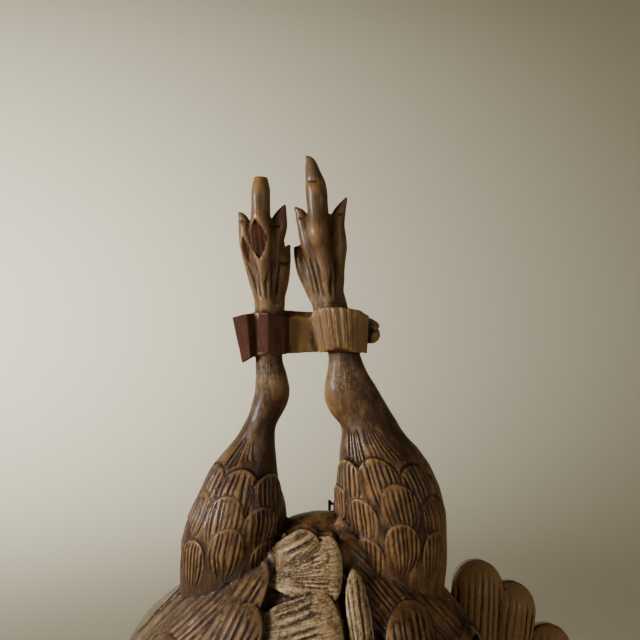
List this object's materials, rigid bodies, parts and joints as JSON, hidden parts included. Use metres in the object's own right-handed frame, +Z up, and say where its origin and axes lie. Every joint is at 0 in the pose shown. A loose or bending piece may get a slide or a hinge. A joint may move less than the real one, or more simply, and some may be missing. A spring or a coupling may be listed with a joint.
{
  "type": "carved game bird wall plaque",
  "caption": "Wooden game bird carved in one block, hung head down by its bound feet, flat at the back to lie against a wall.",
  "frame": {"origin": "on the flat back where it lies against the wall, below the roots of the legs", "axes": "+Y into the wall, +Z up towards the feet, +X to the viewer's right"},
  "size_m": [0.3081, 0.0994, 0.5276],
  "materials": {
    "carved_wood": "brown-stained carved wood, waxed to a satin shine, worn pale on the edges, dark and dusty in the cuts",
    "loop_wire": "thin blackened iron wire with a dull shine"
  },
  "bodies": {
    "root": {"carved_bird": "carved_wood", "hanging_loop": "loop_wire"}
  },
  "joints": []
}
